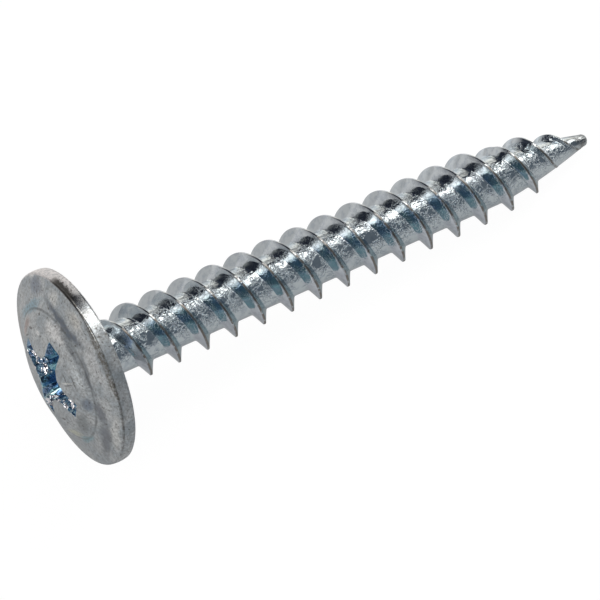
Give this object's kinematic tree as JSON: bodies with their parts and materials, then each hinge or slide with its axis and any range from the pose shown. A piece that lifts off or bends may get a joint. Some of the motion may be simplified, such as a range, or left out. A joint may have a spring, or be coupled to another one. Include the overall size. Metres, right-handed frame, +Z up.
{
  "type": "truss head screw",
  "caption": "Twin-start screw with a washer-like low head, a raised crown with a cross recess, sharp widely spaced threads and a tapered threaded point.",
  "frame": {"origin": "centre of the bounding box at the bottom, on the surface that the screw lies on", "axes": "+Z up; +X the way the tip points, seen from above. The screw lies on its head's rim and a thread crest, so its own axis dips 7.70 degrees below +X towards the tip."},
  "size_m": [0.0342, 0.011, 0.0111],
  "materials": {
    "zinc_plated_steel": "bright zinc plating with a pale blue passivation, satin on the head and glossy on the thread"
  },
  "bodies": {
    "root": {"screw": "zinc_plated_steel"}
  },
  "joints": []
}
